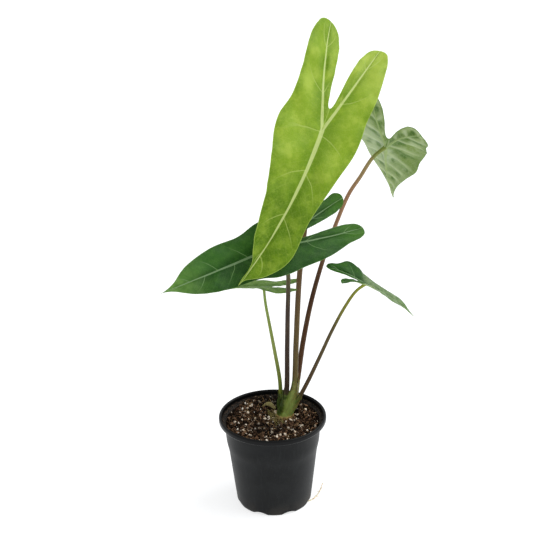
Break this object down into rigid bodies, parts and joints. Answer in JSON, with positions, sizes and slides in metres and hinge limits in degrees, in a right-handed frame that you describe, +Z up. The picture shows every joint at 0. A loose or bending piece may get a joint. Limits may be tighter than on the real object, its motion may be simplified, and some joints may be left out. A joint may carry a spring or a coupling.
{
  "type": "potted alocasia",
  "caption": "Young alocasia with long-stalked, arrow-shaped leaves with two long back lobes, growing in a small round tapered nursery pot of potting mix.",
  "frame": {"origin": "centre of the flat pad in the middle of the pot's underside, on the pot's axis, on the surface that the pot stands on", "axes": "+Z up along the pot's axis; the large front leaf's tip hangs towards -Y, the side the plant is seen from; +X to the right from there"},
  "size_m": [0.2621, 0.2312, 0.4898],
  "materials": {
    "pot": "matte black moulded plastic with a soft sheen and scuffs",
    "soil": "damp dark potting mix with white perlite and bark",
    "crown": "fresh green sheathing leaf bases, tan and dry at the soil line",
    "petiole_brown": "satin brown stalk, finely streaked, green at its foot",
    "petiole_green": "satin olive green stalk",
    "blade_lime": "satin lime green leaf with pale ribs and soft mottling",
    "blade_dark": "velvety dark green leaf with pale ribs, grey-green below",
    "dry_sheath": "dry papery olive-brown",
    "root": "pale dry root"
  },
  "bodies": {
    "root": {"pot": "pot", "soil": "soil", "crown": "crown", "petiole_a": "petiole_brown", "blade_a": "blade_lime", "petiole_b": "petiole_brown", "blade_b": "blade_dark", "petiole_c": "petiole_brown", "blade_c": "blade_dark", "petiole_d": "petiole_green", "blade_d": "blade_dark", "petiole_e": "petiole_brown", "blade_e": "blade_dark", "withered_sheath": "dry_sheath", "stray_root": "root"}
  },
  "joints": []
}
